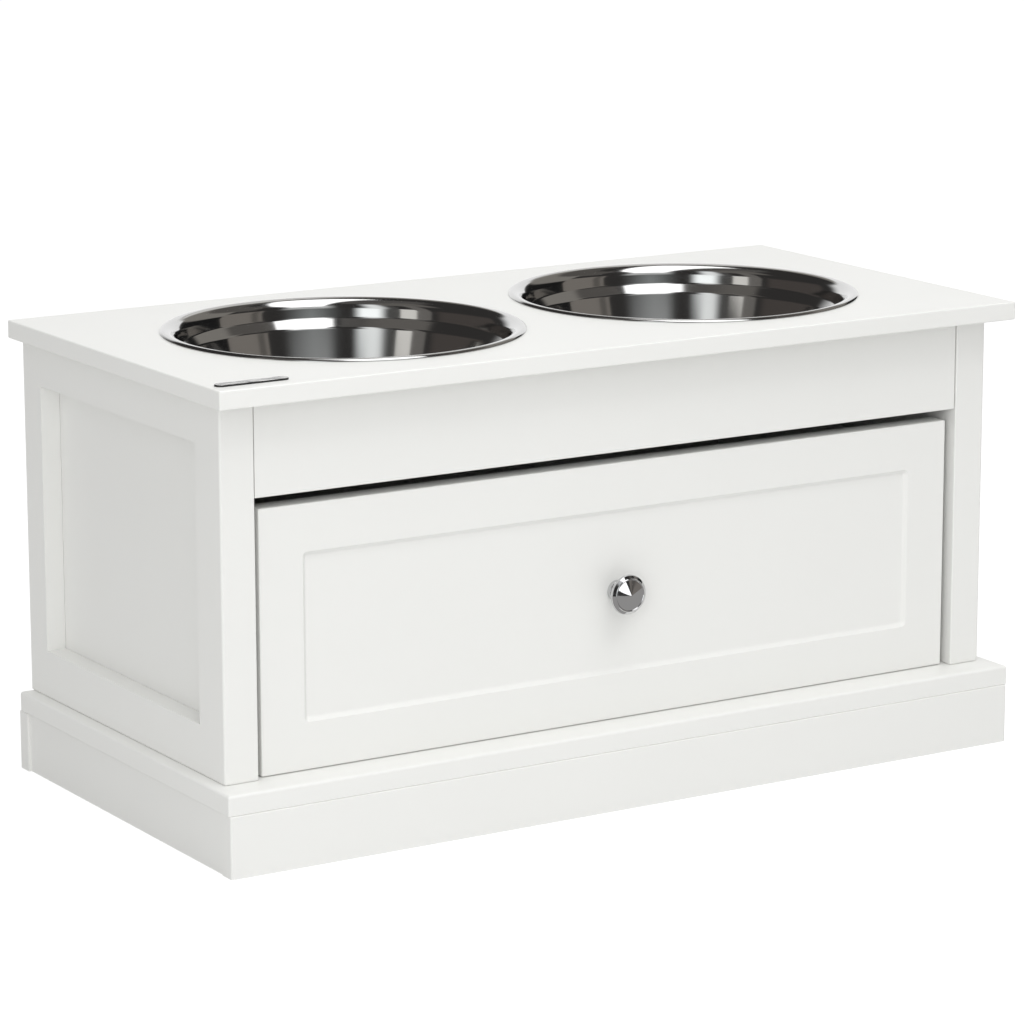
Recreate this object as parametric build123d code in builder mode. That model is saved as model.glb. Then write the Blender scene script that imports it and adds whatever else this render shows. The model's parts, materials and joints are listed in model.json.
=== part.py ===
from build123d import *
import os

# Elevated feeder: two lift-out bowls in a board top, over a case with one drawer.
#
# Millimetres, +Z up. The origin is on the floor under the middle of the whole feeder,
# X runs along its width and the drawer opens towards -Y. Each piece of board, metal and
# hardware is a part of its own, drawn where it sits in the finished feeder.

# ---------------------------------------------------------------- sizes
# Case: two side frames, an apron and a back panel, between a base board and a top board
case_width = 581.0
case_depth = 274.0
case_height = 238.5

top_thickness = 12.0
top_side_overhang = 9.8
top_front_overhang = 20.0
top_back_overhang = 2.0
top_corner_radius = 1.1
top_edge_radius = 1.0

base_thickness = 13.2
base_side_overhang = 8.9
base_front_overhang = 21.0
base_corner_radius = 1.0
base_top_edge_radius = 2.0
base_low_edge_radius = 0.6

# Skirt: front and back boards run the full width, the side boards stand between them
skirt_height = 39.8
skirt_thickness = 12.0
skirt_front_proud = 1.0
skirt_back_proud = 1.0
skirt_front_end_inset = 0.9
skirt_back_end_proud = 0.2
side_skirt_inset = 1.8
skirt_corner_radius = 1.5
skirt_top_edge_radius = 0.5
skirt_back_edge_radius = 0.6
corner_block_size = 22.0
corner_block_height = 38.0

# Side frames: stiles and rails grooved for a thin panel that lies deep behind their face
frame_thickness = 23.4
front_stile_width = 32.0
back_stile_width = 25.0
top_rail_height = 29.0
bottom_rail_height = 32.0
panel_recess = 13.5
panel_thickness = 5.0
panel_tongue = 7.0
panel_play = 0.15
stile_outer_edge_radius = 0.7
stile_inner_edge_radius = 1.7
frame_foot_edge_radius = 1.2

apron_height = 60.9
apron_thickness = 12.0
apron_setback = 1.0
apron_end_gap = 0.8
apron_edge_radius = 0.8

back_panel_thickness = 3.0
back_rebate_width = 8.0
back_panel_play = 0.2

# Bowls: spun steel, hung by the flange. Radii are those of the inside face.
bowl_spacing = 264.0
bowl_wall = 0.7
flange_radius = 118.4
flange_height = 2.0
rim_radius = 108.4
rim_bend_radius = 8.6
step_top_radius = 106.0
step_top_depth = 12.7
step_top_bend_radius = 2.5
step_low_radius = 101.0
step_low_depth = 18.7
step_low_bend_radius = 3.5
bowl_floor_radius = 87.8
bowl_floor_bend_radius = 20.0
bowl_depth = 68.0
flange_edge_radius = 1.5
bowl_hole_play = 2.4
bowl_hole_edge_radius = 1.0

nameplate_length = 50.0
nameplate_width = 8.0
nameplate_thickness = 1.2
nameplate_side_inset = 5.0
nameplate_front_inset = 11.5
nameplate_edge_radius = 0.3

# Drawer: an inset front with gaps all round, and a box of board on two slides
drawer_setback = 4.6
drawer_side_gap = 4.9
drawer_bottom_gap = 0.4
drawer_top_gap = 7.9
drawer_front_thickness = 15.0
drawer_front_edge_radius = 1.0
field_border = 30.5
field_depth = 2.5
field_slope_degrees = 45.0
field_corner_radius = 3.2
field_lip_radius = 0.7
field_cove_radius = 1.5
drawer_board = 12.0
drawer_back_gap = 10.7
drawer_box_height = 145.0
drawer_box_lift = 3.0
drawer_bottom_thickness = 3.0
drawer_bottom_lift = 5.5
drawer_groove_depth = 6.0
drawer_groove_play = 0.15
drawer_edge_radius = 0.8

# Knob: heights are measured from the drawer's field, radii from the knob's axis
knob_collar_radius = 7.0
knob_collar_height = 3.6
knob_collar_edge_radius = 1.2
knob_neck_radius = 4.5
knob_neck_height = 8.5
knob_back_height = 12.6
knob_back_radius = 12.4
knob_rim_radius = 13.2
knob_rim_height = 13.9
knob_face_height = 17.0
knob_face_radius = 10.9
knob_ring_width = 0.7
knob_ring_height = 0.35
knob_crown = 1.0
knob_screw_radius = 2.0
knob_screw_reach = 9.0
knob_screw_head_radius = 4.0
knob_screw_head_height = 2.6

# Slides: a cabinet rail and a drawer rail, one inside the other, and balls in a cage between them
slide_thickness = 10.0
slide_height = 27.0
slide_sheet = 1.2
slide_front_gap = 2.5
slide_back_gap = 2.2
slide_lift = 13.0
race_gap = 4.1
race_lip = 1.0
race_lip_width = 1.0
slide_side_play = 0.8
drawer_rail_reach = 7.0
ball_radius = 1.75
ball_pitch = 12.0
balls_in_row = 5
cage_length = 64.0
cage_sheet = 0.8
cage_web_gap = 0.5
cage_reach = 7.3
ball_hole_play = 0.3

# Fasteners
fastener_play = 0.05
dowel_radius = 4.0
dowel_length = 24.0
dowel_end_play = 0.5
frame_dowel_inset = 12.0
apron_dowel_spacing = 34.0
cam_radius = 7.5
cam_depth = 9.5
cam_play = 0.1
cam_slot_radius = 3.0
cam_bolt_inset = 5.5
cam_bolt_radius = 2.0
cam_bolt_head_radius = 2.7
cam_bolt_head_length = 4.0
cam_bolt_thread_radius = 2.5
cam_bolt_thread_length = 9.0
cam_cross_width = 1.6
cam_cross_length = 8.0
cam_cross_depth = 1.5
top_cam_drop = 13.5
top_cam_spacing = 140.0
drawer_cam_setback = 24.0
drawer_cam_spacing = 80.0
base_screw_radius = 2.5
base_screw_head_radius = 4.5
base_screw_length = 50.0
base_screw_inset = 8.0
block_screw_radius = 1.75
block_screw_head_radius = 3.5
block_screw_reach = 9.0
back_screw_radius = 2.0
back_screw_head_radius = 4.0
back_screw_length = 38.0
back_screw_spacing = 66.0
slide_screw_radius = 1.5
slide_screw_head_radius = 2.7
slide_screw_reach = 9.0
slide_screw_head_height = 1.6
slide_screw_end_inset = 38.0
pin_radius = 0.6
pin_length = 12.0
pin_head_radius = 1.5
pin_head_height = 0.6
side_pin_count = 5
side_pin_pitch = 52.0

# ---------------------------------------------------------------- places worked out from the sizes
case_x = case_width / 2
inner_x = case_x - frame_thickness
frame_mid_x = case_x - frame_thickness / 2

overall_depth = skirt_front_proud + base_front_overhang + case_depth + top_back_overhang
case_front_y = -overall_depth / 2 + skirt_front_proud + base_front_overhang
case_back_y = case_front_y + case_depth
top_front_y = case_front_y - top_front_overhang
top_back_y = case_back_y + top_back_overhang
base_front_y = case_front_y - base_front_overhang
base_back_y = case_back_y
skirt_front_y = base_front_y - skirt_front_proud
skirt_back_y = base_back_y + skirt_back_proud

base_top_z = skirt_height + base_thickness
top_under_z = base_top_z + case_height
top_z = top_under_z + top_thickness

top_x = case_x + top_side_overhang
base_x = case_x + base_side_overhang
skirt_front_x = base_x - skirt_front_end_inset
skirt_back_x = base_x + skirt_back_end_proud
side_skirt_x = base_x - side_skirt_inset

rail_front_y = case_front_y + front_stile_width
rail_back_y = case_back_y - back_stile_width
panel_low_z = base_top_z + bottom_rail_height
panel_high_z = top_under_z - top_rail_height
panel_x = case_x - panel_recess
groove_depth = panel_tongue + panel_play

apron_front_y = case_front_y + apron_setback
apron_mid_y = apron_front_y + apron_thickness / 2
apron_low_z = top_under_z - apron_height
apron_mid_z = top_under_z - apron_height / 2
apron_x = inner_x - apron_end_gap

back_panel_y = case_back_y - back_panel_thickness
back_rebate_x = inner_x + back_rebate_width

bowl_y = (top_front_y + top_back_y) / 2
bowl_centres = {"left": -bowl_spacing / 2, "right": bowl_spacing / 2}
rim_z = top_z + flange_height
bowl_hole_radius = rim_radius + bowl_wall + bowl_hole_play

drawer_front_y = case_front_y + drawer_setback
drawer_back_of_front_y = drawer_front_y + drawer_front_thickness
drawer_front_x = inner_x - drawer_side_gap
drawer_front_low_z = base_top_z + drawer_bottom_gap
drawer_front_high_z = apron_low_z - drawer_top_gap
drawer_front_mid_z = (drawer_front_low_z + drawer_front_high_z) / 2
field_y = drawer_front_y + field_depth
box_x = inner_x - slide_thickness
box_inner_x = box_x - drawer_board
box_low_z = base_top_z + drawer_box_lift
box_high_z = box_low_z + drawer_box_height
box_back_y = back_panel_y - drawer_back_gap
box_back_front_y = box_back_y - drawer_board
drawer_bottom_z = box_low_z + drawer_bottom_lift

slide_front_y = drawer_back_of_front_y + slide_front_gap
slide_length = back_panel_y - slide_back_gap - slide_front_y
slide_mid_y = slide_front_y + slide_length / 2
slide_z = box_low_z + slide_lift
race_out_z = slide_height / 2 - slide_sheet
race_in_z = race_out_z - race_gap
ball_z = (race_out_z + race_in_z) / 2
cabinet_rail_reach = slide_thickness - slide_side_play
drawer_rail_start = slide_thickness - drawer_rail_reach
ball_row_x = (drawer_rail_start + race_lip_width + cabinet_rail_reach - race_lip_width) / 2
cage_start = slide_sheet + cage_web_gap
slide_screw_reach_y = slide_length / 2 - slide_screw_end_inset
slide_screw_ys = [slide_mid_y + step * slide_screw_reach_y for step in (-1, 0, 1)]

rail_mid_y = (rail_front_y + rail_back_y) / 2
top_cam_ys = [rail_mid_y - top_cam_spacing / 2, rail_mid_y + top_cam_spacing / 2]
top_cam_z = top_under_z - top_cam_drop
drawer_cam_y = drawer_back_of_front_y + drawer_cam_setback
box_mid_z = (box_low_z + box_high_z) / 2
drawer_cam_zs = [box_mid_z - drawer_cam_spacing / 2, box_mid_z + drawer_cam_spacing / 2]
back_screw_zs = [box_mid_z - back_screw_spacing / 2, box_mid_z + back_screw_spacing / 2]
box_back_mid_y = box_back_y - drawer_board / 2
base_screw_ys = [case_front_y + base_screw_inset, case_back_y - base_screw_inset]
block_low_z = skirt_height - corner_block_height
block_mid_x = side_skirt_x - skirt_thickness - corner_block_size / 2
block_mid_ys = [
    skirt_front_y + skirt_thickness + corner_block_size / 2,
    skirt_back_y - skirt_thickness - corner_block_size / 2,
]
frame_dowel_zs = [base_top_z + frame_dowel_inset, top_under_z - frame_dowel_inset]
apron_dowel_zs = [apron_mid_z - apron_dowel_spacing / 2, apron_mid_z + apron_dowel_spacing / 2]
dowel_hole_depth = dowel_length / 2 + dowel_end_play
side_pin_x = (inner_x + back_rebate_x) / 2
side_pin_zs = [
    (base_top_z + top_under_z) / 2 + (i - (side_pin_count - 1) / 2) * side_pin_pitch
    for i in range(side_pin_count)
]

sides = {"left": -1, "right": 1}
BACKWARDS = (0, 1, 0)
FORWARDS = (0, -1, 0)
UP = (0, 0, 1)
DOWN = (0, 0, -1)

os.makedirs("parts", exist_ok=True)


# ---------------------------------------------------------------- small helpers
def finish(part, name):
    """Label a finished piece and write it to its own file."""
    part.label = name
    export_step(part, f"parts/{name}.step")


def block(x_range, y_range, z_range, mode=Mode.ADD):
    """A box between two values on each axis, added to or cut from the part in hand."""
    (x0, x1), (y0, y1), (z0, z1) = sorted(x_range), sorted(y_range), sorted(z_range)
    with Locations(((x0 + x1) / 2, (y0 + y1) / 2, (z0 + z1) / 2)):
        Box(x1 - x0, y1 - y0, z1 - z0, mode=mode)


def rod(start, direction, radius, length, mode=Mode.ADD):
    """A round bar from a point, or with mode SUBTRACT a round hole."""
    with Locations(Plane(origin=start, z_dir=direction)):
        Cylinder(radius, length, align=(Align.CENTER, Align.CENTER, Align.MIN), mode=mode)


def cone(start, direction, radius, end_radius, length, mode=Mode.ADD):
    """A countersunk head that narrows from a point, or with mode SUBTRACT its seat."""
    with Locations(Plane(origin=start, z_dir=direction)):
        Cone(radius, end_radius, length, align=(Align.CENTER, Align.CENTER, Align.MIN), mode=mode)


def countersunk_screw(start, direction, radius, head_radius, length):
    """A flush screw whose head's face lies at the start. The head tapers at 45 degrees."""
    cone(start, direction, head_radius, radius, head_radius - radius)
    rod(start, direction, radius, length)


def countersunk_hole(start, direction, radius, head_radius, depth):
    """The hole for a countersunk screw, wider than it by the fasteners' play."""
    wide = fastener_play
    cone(start, direction, head_radius + wide, radius + wide, head_radius - radius, Mode.SUBTRACT)
    rod(start, direction, radius + wide, depth, Mode.SUBTRACT)


def moved(point, direction, distance):
    """The point that lies a distance from another one along a direction."""
    return tuple(p + d * distance for p, d in zip(point, direction))


def cam_pocket(face, inward, bolt_way, bolt_start):
    """In a board: the round pocket of a cam, and the bolt's hole to it from the board's edge."""
    rod(face, inward, cam_radius + cam_play, cam_depth + cam_play, Mode.SUBTRACT)
    run = sum(abs(a - b) for a, b in zip(moved(face, inward, cam_bolt_inset), bolt_start))
    rod(bolt_start, bolt_way, cam_slot_radius, run, Mode.SUBTRACT)


def cam(face, inward, bolt_way):
    """A cam: a short drum with a crossed slot for the driver and a bore for the bolt's head."""
    rod(face, inward, cam_radius, cam_depth)
    length, width, depth = cam_cross_length / 2, cam_cross_width / 2, cam_cross_depth
    across = tuple(length if abs(a) < 0.5 else depth for a in inward)
    for narrow in [axis for axis in range(3) if abs(inward[axis]) < 0.5]:
        half = [width if axis == narrow else across[axis] for axis in range(3)]
        block(*[(face[i] - half[i], face[i] + half[i]) for i in range(3)], Mode.SUBTRACT)
    middle = moved(face, inward, cam_bolt_inset)
    back = tuple(-way for way in bolt_way)
    reach = cam_bolt_head_length / 2
    rod(moved(middle, bolt_way, reach), back, cam_slot_radius, cam_radius + reach, Mode.SUBTRACT)


def cam_bolt(seat, way, run):
    """A bolt screwed into one board at the seat, with its head held in a cam a run away."""
    into = tuple(-w for w in way)
    rod(seat, into, cam_bolt_thread_radius, cam_bolt_thread_length)
    rod(seat, way, cam_bolt_radius, run)
    neck = run - cam_bolt_head_length / 2
    rod(moved(seat, way, neck), way, cam_bolt_head_radius, cam_bolt_head_length)


def cam_bolt_hole(seat, into):
    """The hole that a cam bolt is screwed into."""
    wide = cam_bolt_thread_radius + fastener_play
    rod(seat, into, wide, cam_bolt_thread_length + dowel_end_play, Mode.SUBTRACT)


def dowel_hole(start, direction):
    """Half of a dowel's bed."""
    rod(start, direction, dowel_radius + fastener_play, dowel_hole_depth, Mode.SUBTRACT)


# ---------------------------------------------------------------- top board
with BuildPart() as top_board:
    with BuildSketch(Plane.XY.offset(top_under_z)):
        with Locations((0, bowl_y)):
            RectangleRounded(2 * top_x, top_back_y - top_front_y, top_corner_radius)
        with Locations([(x, bowl_y) for x in bowl_centres.values()]):
            Circle(bowl_hole_radius, mode=Mode.SUBTRACT)
    extrude(amount=top_thickness)
    upper, lower = top_board.faces().sort_by(Axis.Z)[-1], top_board.faces().sort_by(Axis.Z)[0]
    bowl_hole_edges = [edge for wire in upper.inner_wires() for edge in wire.edges()]
    outer_edges = upper.outer_wire().edges() + lower.outer_wire().edges()
    fillet(outer_edges, top_edge_radius)
    fillet(bowl_hole_edges, bowl_hole_edge_radius)
    for sign in sides.values():
        for y in top_cam_ys:
            cam_bolt_hole((sign * (inner_x + cam_bolt_inset), y, top_under_z), UP)
finish(top_board.part, "top_board")

# ---------------------------------------------------------------- bowls
# The outside of the sheet is its inside moved out and down by the wall, so that every
# bend is wider or tighter by the wall on that side.
for side, bowl_x in bowl_centres.items():
    with BuildPart() as bowl:
        with BuildSketch(Plane(origin=(bowl_x, bowl_y, rim_z), x_dir=(1, 0, 0), z_dir=FORWARDS)):
            with BuildLine():
                inside = FilletPolyline(
                    (0, -bowl_depth),
                    (bowl_floor_radius, -bowl_depth),
                    (step_low_radius, -step_low_depth),
                    (step_top_radius, -step_top_depth),
                    (rim_radius, 0),
                    (flange_radius, 0),
                    (flange_radius, -flange_height),
                    radius=[
                        bowl_floor_bend_radius,
                        step_low_bend_radius + bowl_wall,
                        step_top_bend_radius,
                        rim_bend_radius,
                        flange_edge_radius,
                    ],
                )
                outside = FilletPolyline(
                    (0, -bowl_depth - bowl_wall),
                    (bowl_floor_radius + bowl_wall, -bowl_depth - bowl_wall),
                    (step_low_radius + bowl_wall, -step_low_depth - bowl_wall),
                    (step_top_radius + bowl_wall, -step_top_depth - bowl_wall),
                    (rim_radius + bowl_wall, -bowl_wall),
                    (flange_radius - bowl_wall, -bowl_wall),
                    (flange_radius - bowl_wall, -flange_height),
                    radius=[
                        bowl_floor_bend_radius + bowl_wall,
                        step_low_bend_radius,
                        step_top_bend_radius + bowl_wall,
                        rim_bend_radius - bowl_wall,
                        flange_edge_radius - bowl_wall,
                    ],
                )
                Line(inside @ 0, outside @ 0)
                Line(inside @ 1, outside @ 1)
            make_face()
        revolve(axis=Axis((bowl_x, bowl_y, 0), UP))
    finish(bowl.part, f"bowl_{side}")

# ---------------------------------------------------------------- nameplate, left bare
with BuildPart() as nameplate:
    with BuildSketch(Plane.XY.offset(top_z)):
        with Locations(
            (
                -top_x + nameplate_side_inset + nameplate_length / 2,
                top_front_y + nameplate_front_inset + nameplate_width / 2,
            )
        ):
            SlotOverall(nameplate_length, nameplate_width)
    extrude(amount=nameplate_thickness)
    fillet(nameplate.faces().sort_by(Axis.Z)[-1].edges(), nameplate_edge_radius)
finish(nameplate.part, "nameplate")

# ---------------------------------------------------------------- side frames
for side, sign in sides.items():
    outwards = (sign, 0, 0)
    thickness_x = (sign * inner_x, sign * case_x)
    full_height = (base_top_z, top_under_z)
    groove_x = (sign * (panel_x + panel_play), sign * (panel_x - panel_thickness - panel_play))
    groove_z = (panel_low_z - groove_depth, panel_high_z + groove_depth)

    def foot_edge(piece):
        """The low outer edge of a stile or rail, where it stands on the base board."""
        low_edges = piece.faces().sort_by(Axis.Z)[0].edges().filter_by(Axis.Y)
        return low_edges.sort_by(Axis.X)[-1 if sign > 0 else 0]

    with BuildPart() as front_stile:
        block(thickness_x, (case_front_y, rail_front_y), full_height)
        front_edges = front_stile.edges().filter_by(Axis.Z).group_by(Axis.Y)[0].sort_by(Axis.X)
        inner_edge, outer_edge = front_edges[::-sign]
        fillet(inner_edge, stile_inner_edge_radius)
        fillet(outer_edge, stile_outer_edge_radius)
        fillet(foot_edge(front_stile), frame_foot_edge_radius)
        block(groove_x, (rail_front_y - groove_depth, rail_front_y), groove_z, Mode.SUBTRACT)
        for z in frame_dowel_zs:
            dowel_hole((sign * frame_mid_x, rail_front_y, z), FORWARDS)
        for z in apron_dowel_zs:
            dowel_hole((sign * inner_x, apron_mid_y, z), outwards)
        pilot = base_screw_radius + fastener_play
        rod((sign * frame_mid_x, base_screw_ys[0], base_top_z), UP, pilot, base_screw_length,
            Mode.SUBTRACT)
    finish(front_stile.part, f"{side}_front_stile")

    with BuildPart() as back_stile:
        block(thickness_x, (rail_back_y, case_back_y), full_height)
        fillet(foot_edge(back_stile), frame_foot_edge_radius)
        block(groove_x, (rail_back_y, rail_back_y + groove_depth), groove_z, Mode.SUBTRACT)
        rebate_x = (sign * inner_x, sign * back_rebate_x)
        block(rebate_x, (back_panel_y, case_back_y), full_height, Mode.SUBTRACT)
        for z in frame_dowel_zs:
            dowel_hole((sign * frame_mid_x, rail_back_y, z), BACKWARDS)
        rod((sign * frame_mid_x, base_screw_ys[1], base_top_z), UP, pilot, base_screw_length,
            Mode.SUBTRACT)
        for z in side_pin_zs:
            rod((sign * side_pin_x, back_panel_y, z), FORWARDS, pin_radius + fastener_play,
                pin_length, Mode.SUBTRACT)
    finish(back_stile.part, f"{side}_back_stile")

    rail_y = (rail_front_y, rail_back_y)
    with BuildPart() as top_rail:
        block(thickness_x, rail_y, (panel_high_z, top_under_z))
        block(groove_x, rail_y, (panel_high_z, panel_high_z + groove_depth), Mode.SUBTRACT)
        dowel_hole((sign * frame_mid_x, rail_front_y, frame_dowel_zs[1]), BACKWARDS)
        dowel_hole((sign * frame_mid_x, rail_back_y, frame_dowel_zs[1]), FORWARDS)
        for y in top_cam_ys:
            bolt_top = (sign * (inner_x + cam_bolt_inset), y, top_under_z)
            cam_pocket((sign * inner_x, y, top_cam_z), outwards, DOWN, bolt_top)
    finish(top_rail.part, f"{side}_top_rail")

    with BuildPart() as bottom_rail:
        block(thickness_x, rail_y, (base_top_z, panel_low_z))
        fillet(foot_edge(bottom_rail), frame_foot_edge_radius)
        block(groove_x, rail_y, (panel_low_z - groove_depth, panel_low_z), Mode.SUBTRACT)
        dowel_hole((sign * frame_mid_x, rail_front_y, frame_dowel_zs[0]), BACKWARDS)
        dowel_hole((sign * frame_mid_x, rail_back_y, frame_dowel_zs[0]), FORWARDS)
        for y in slide_screw_ys:
            rod((sign * inner_x, y, slide_z), outwards, slide_screw_radius + fastener_play,
                slide_screw_reach, Mode.SUBTRACT)
    finish(bottom_rail.part, f"{side}_bottom_rail")

    with BuildPart() as side_panel:
        block(
            (sign * (panel_x - panel_thickness), sign * panel_x),
            (rail_front_y - panel_tongue, rail_back_y + panel_tongue),
            (panel_low_z - panel_tongue, panel_high_z + panel_tongue),
        )
    finish(side_panel.part, f"{side}_side_panel")

# ---------------------------------------------------------------- apron and back panel
with BuildPart() as front_apron:
    apron_back_y = apron_front_y + apron_thickness
    block((-apron_x, apron_x), (apron_front_y, apron_back_y), (apron_low_z, top_under_z))
    fillet(front_apron.edges().filter_by(Axis.X).group_by(Axis.Z)[0], apron_edge_radius)
    for sign in sides.values():
        for z in apron_dowel_zs:
            dowel_hole((sign * inner_x, apron_mid_y, z), (-sign, 0, 0))
finish(front_apron.part, "front_apron")

with BuildPart() as back_panel:
    back_panel_x = back_rebate_x - back_panel_play
    block(
        (-back_panel_x, back_panel_x),
        (back_panel_y, case_back_y),
        (base_top_z, top_under_z - back_panel_play),
    )
    pin_spots = [(sign * side_pin_x, z) for sign in sides.values() for z in side_pin_zs]
    for x, z in pin_spots:
        rod((x, case_back_y, z), FORWARDS, pin_radius + fastener_play, back_panel_thickness,
            Mode.SUBTRACT)
finish(back_panel.part, "back_panel")

with BuildPart() as back_pins:
    for x, z in pin_spots:
        rod((x, case_back_y, z), FORWARDS, pin_radius, pin_length)
        rod((x, case_back_y, z), BACKWARDS, pin_head_radius, pin_head_height)
finish(back_pins.part, "back_pins")

# ---------------------------------------------------------------- base board
with BuildPart() as base_board:
    block((-base_x, base_x), (base_front_y, base_back_y), (skirt_height, base_top_z))
    fillet(base_board.faces().sort_by(Axis.Z)[-1].edges(), base_top_edge_radius)
    fillet(base_board.edges().filter_by(Axis.Z), base_corner_radius)
    fillet(base_board.faces().sort_by(Axis.Z)[0].edges(), base_low_edge_radius)
    for sign in sides.values():
        for y in base_screw_ys:
            countersunk_hole((sign * frame_mid_x, y, skirt_height), UP, base_screw_radius,
                             base_screw_head_radius, base_thickness)
        for y in block_mid_ys:
            rod((sign * block_mid_x, y, skirt_height), UP, block_screw_radius + fastener_play,
                block_screw_reach, Mode.SUBTRACT)
finish(base_board.part, "base_board")

# ---------------------------------------------------------------- skirt and corner blocks
skirt_z = (0, skirt_height)
skirt_front_in_y = skirt_front_y + skirt_thickness
skirt_back_in_y = skirt_back_y - skirt_thickness

with BuildPart() as skirt_front:
    block((-skirt_front_x, skirt_front_x), (skirt_front_y, skirt_front_in_y), skirt_z)
    fillet(skirt_front.edges().filter_by(Axis.Z).group_by(Axis.Y)[0], skirt_corner_radius)
    fillet(skirt_front.faces().sort_by(Axis.Y)[0].edges().group_by(Axis.Z)[-1], skirt_top_edge_radius)
finish(skirt_front.part, "skirt_front")

with BuildPart() as skirt_back:
    block((-skirt_back_x, skirt_back_x), (skirt_back_in_y, skirt_back_y), skirt_z)
    fillet(skirt_back.edges().filter_by(Axis.Z), skirt_back_edge_radius)
    fillet(skirt_back.faces().sort_by(Axis.Z)[-1].edges(), skirt_back_edge_radius)
finish(skirt_back.part, "skirt_back")

for side, sign in sides.items():
    with BuildPart() as side_skirt:
        side_skirt_in_x = side_skirt_x - skirt_thickness
        block((sign * side_skirt_in_x, sign * side_skirt_x), (skirt_front_in_y, skirt_back_in_y), skirt_z)
        outer_face = side_skirt.faces().sort_by(Axis.X)[-1 if sign > 0 else 0]
        fillet(outer_face.edges().group_by(Axis.Z)[-1], skirt_top_edge_radius)
    finish(side_skirt.part, f"skirt_{side}")

with BuildPart() as corner_blocks:
    for sign in sides.values():
        for y in block_mid_ys:
            with Locations((sign * block_mid_x, y, block_low_z)):
                Box(corner_block_size, corner_block_size, corner_block_height,
                    align=(Align.CENTER, Align.CENTER, Align.MIN))
            countersunk_hole((sign * block_mid_x, y, block_low_z), UP, block_screw_radius,
                             block_screw_head_radius, corner_block_height)
finish(corner_blocks.part, "corner_blocks")

with BuildPart() as block_screws:
    for sign in sides.values():
        for y in block_mid_ys:
            countersunk_screw((sign * block_mid_x, y, block_low_z), UP, block_screw_radius,
                              block_screw_head_radius, corner_block_height + block_screw_reach)
finish(block_screws.part, "block_screws")

with BuildPart() as base_screws:
    for sign in sides.values():
        for y in base_screw_ys:
            countersunk_screw((sign * frame_mid_x, y, skirt_height), UP, base_screw_radius,
                              base_screw_head_radius, base_screw_length)
finish(base_screws.part, "base_screws")

# ---------------------------------------------------------------- dowels and cams of the case
with BuildPart() as frame_dowels:
    for sign in sides.values():
        for z in frame_dowel_zs:
            for y in (rail_front_y, rail_back_y):
                rod((sign * frame_mid_x, y - dowel_length / 2, z), BACKWARDS, dowel_radius, dowel_length)
finish(frame_dowels.part, "frame_dowels")

with BuildPart() as apron_dowels:
    for sign in sides.values():
        for z in apron_dowel_zs:
            start_x = sign * (inner_x - dowel_length / 2)
            rod((start_x, apron_mid_y, z), (sign, 0, 0), dowel_radius, dowel_length)
finish(apron_dowels.part, "apron_dowels")

with BuildPart() as top_cams:
    for sign in sides.values():
        for y in top_cam_ys:
            cam((sign * inner_x, y, top_cam_z), (sign, 0, 0), DOWN)
finish(top_cams.part, "top_cams")

with BuildPart() as top_cam_bolts:
    for sign in sides.values():
        for y in top_cam_ys:
            cam_bolt((sign * (inner_x + cam_bolt_inset), y, top_under_z), DOWN, top_cam_drop)
finish(top_cam_bolts.part, "top_cam_bolts")

# ---------------------------------------------------------------- drawer
drawer_groove_z = (
    drawer_bottom_z - drawer_groove_play,
    drawer_bottom_z + drawer_bottom_thickness + drawer_groove_play,
)
groove_cut = drawer_groove_depth + drawer_groove_play

with BuildPart() as drawer_front:
    front_plane = Plane(origin=(0, drawer_front_y, drawer_front_mid_z), x_dir=(1, 0, 0), z_dir=FORWARDS)
    front_height = drawer_front_high_z - drawer_front_low_z
    with BuildSketch(front_plane):
        Rectangle(2 * drawer_front_x, front_height)
    extrude(amount=-drawer_front_thickness)
    fillet(drawer_front.edges().filter_by(Axis.Y), drawer_front_edge_radius)
    fillet(drawer_front.faces().sort_by(Axis.Y)[0].edges(), drawer_front_edge_radius)
    with BuildSketch(front_plane):
        RectangleRounded(
            2 * (drawer_front_x - field_border), front_height - 2 * field_border, field_corner_radius
        )
    extrude(amount=-field_depth, taper=field_slope_degrees, mode=Mode.SUBTRACT)
    field = drawer_front.faces().filter_by(Axis.Y).sort_by(Axis.Y)[1]
    fillet(field.edges(), field_cove_radius)
    surround = drawer_front.faces().sort_by(Axis.Y)[0]
    fillet(surround.inner_wires()[0].edges(), field_lip_radius)
    groove_x = (-box_inner_x - groove_cut, box_inner_x + groove_cut)
    groove_y = (drawer_back_of_front_y - groove_cut, drawer_back_of_front_y)
    block(groove_x, groove_y, drawer_groove_z, Mode.SUBTRACT)
    for sign in sides.values():
        for z in drawer_cam_zs:
            seat = (sign * (box_inner_x + cam_bolt_inset), drawer_back_of_front_y, z)
            cam_bolt_hole(seat, FORWARDS)
    rod((0, field_y, drawer_front_mid_z), BACKWARDS, knob_screw_radius + fastener_play,
        drawer_front_thickness, Mode.SUBTRACT)
finish(drawer_front.part, "drawer_front")

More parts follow.
